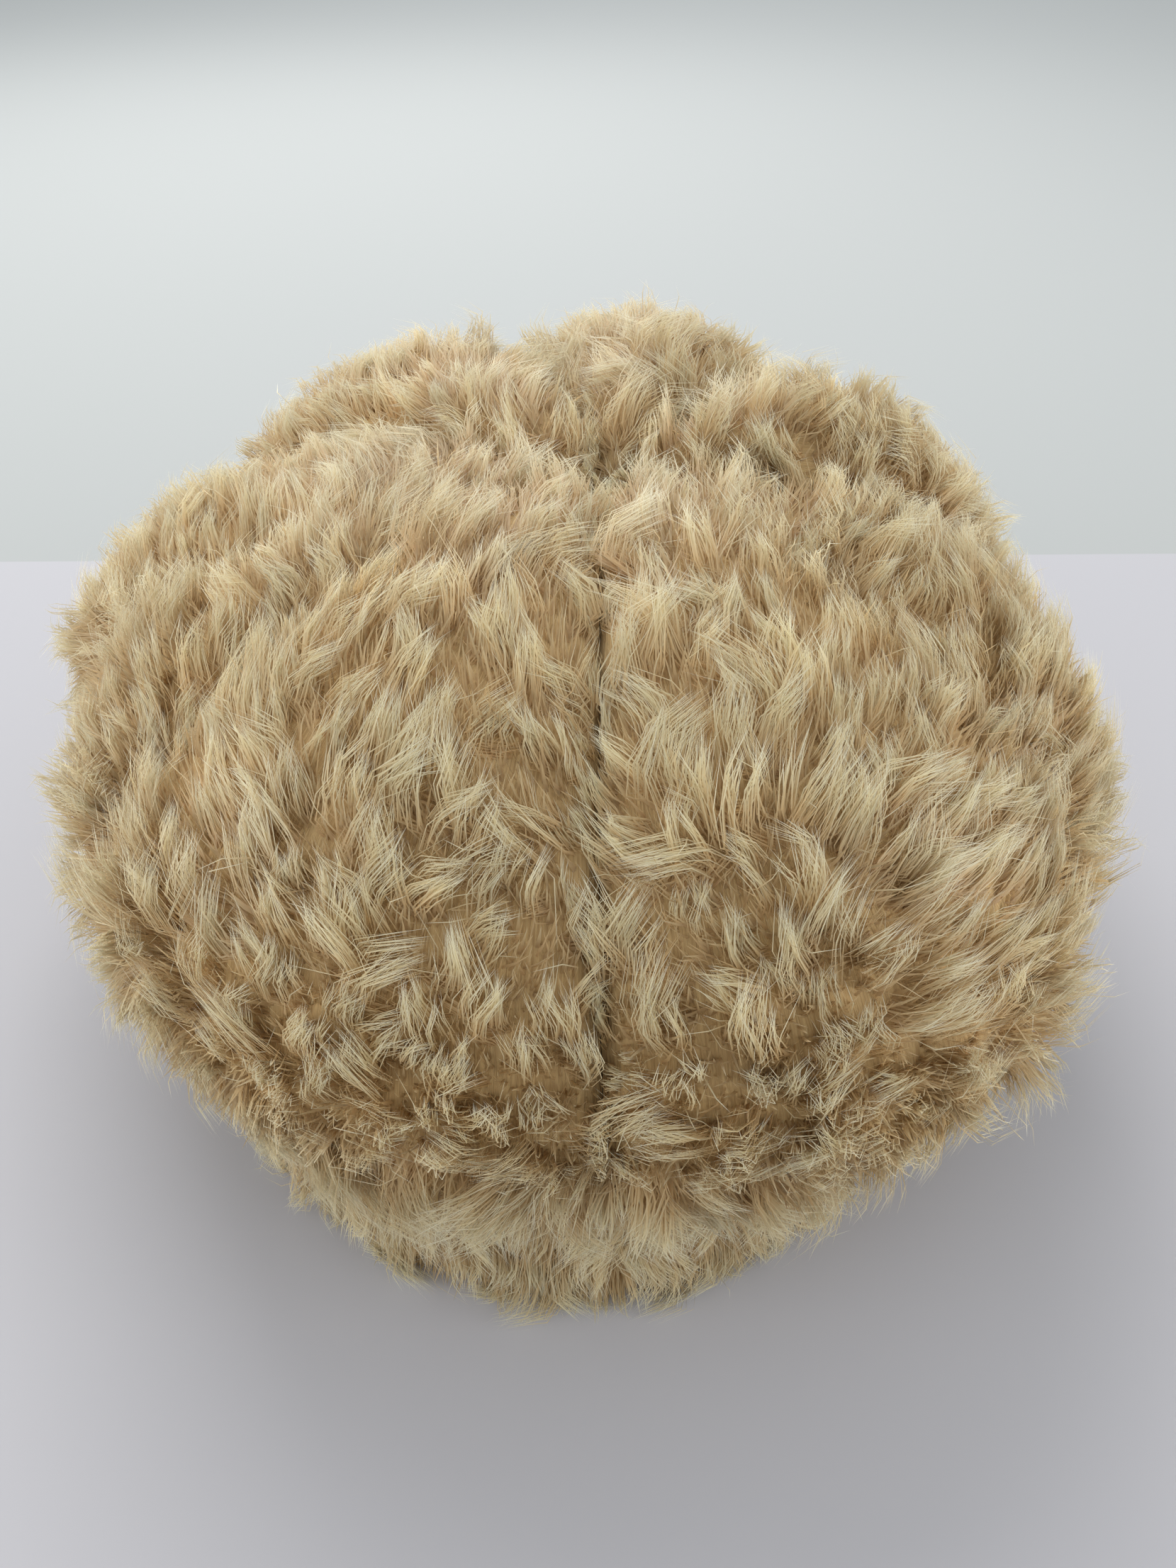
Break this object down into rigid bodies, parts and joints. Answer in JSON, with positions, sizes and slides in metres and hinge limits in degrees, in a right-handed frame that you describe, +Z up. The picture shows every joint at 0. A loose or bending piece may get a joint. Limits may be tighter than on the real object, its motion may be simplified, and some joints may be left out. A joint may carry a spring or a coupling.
{
  "type": "faux fur panelled hat",
  "caption": "Soft faux-fur hat with a puffed crown of wedge panels gathered at a sunken centre, over a narrow oval hem band that goes round the head.",
  "frame": {"origin": "middle of the hat's outline seen from above, on the surface that its hem stands on", "axes": "+Z up, +Y to the front of the hat with the centre-back seam towards -Y, +X to the wearer's right"},
  "size_m": [0.2406, 0.2584, 0.1358],
  "materials": {
    "faux_fur": "deep plush pile, cream-beige at the tips and golden tan at the roots"
  },
  "bodies": {
    "root": {"crown_panel_back_right": "faux_fur", "crown_panel_right_back": "faux_fur", "crown_panel_right_front": "faux_fur", "crown_panel_front_right": "faux_fur", "crown_panel_front_left": "faux_fur", "crown_panel_left_front": "faux_fur", "crown_panel_left_back": "faux_fur", "crown_panel_back_left": "faux_fur", "hem_band": "faux_fur"}
  },
  "joints": []
}
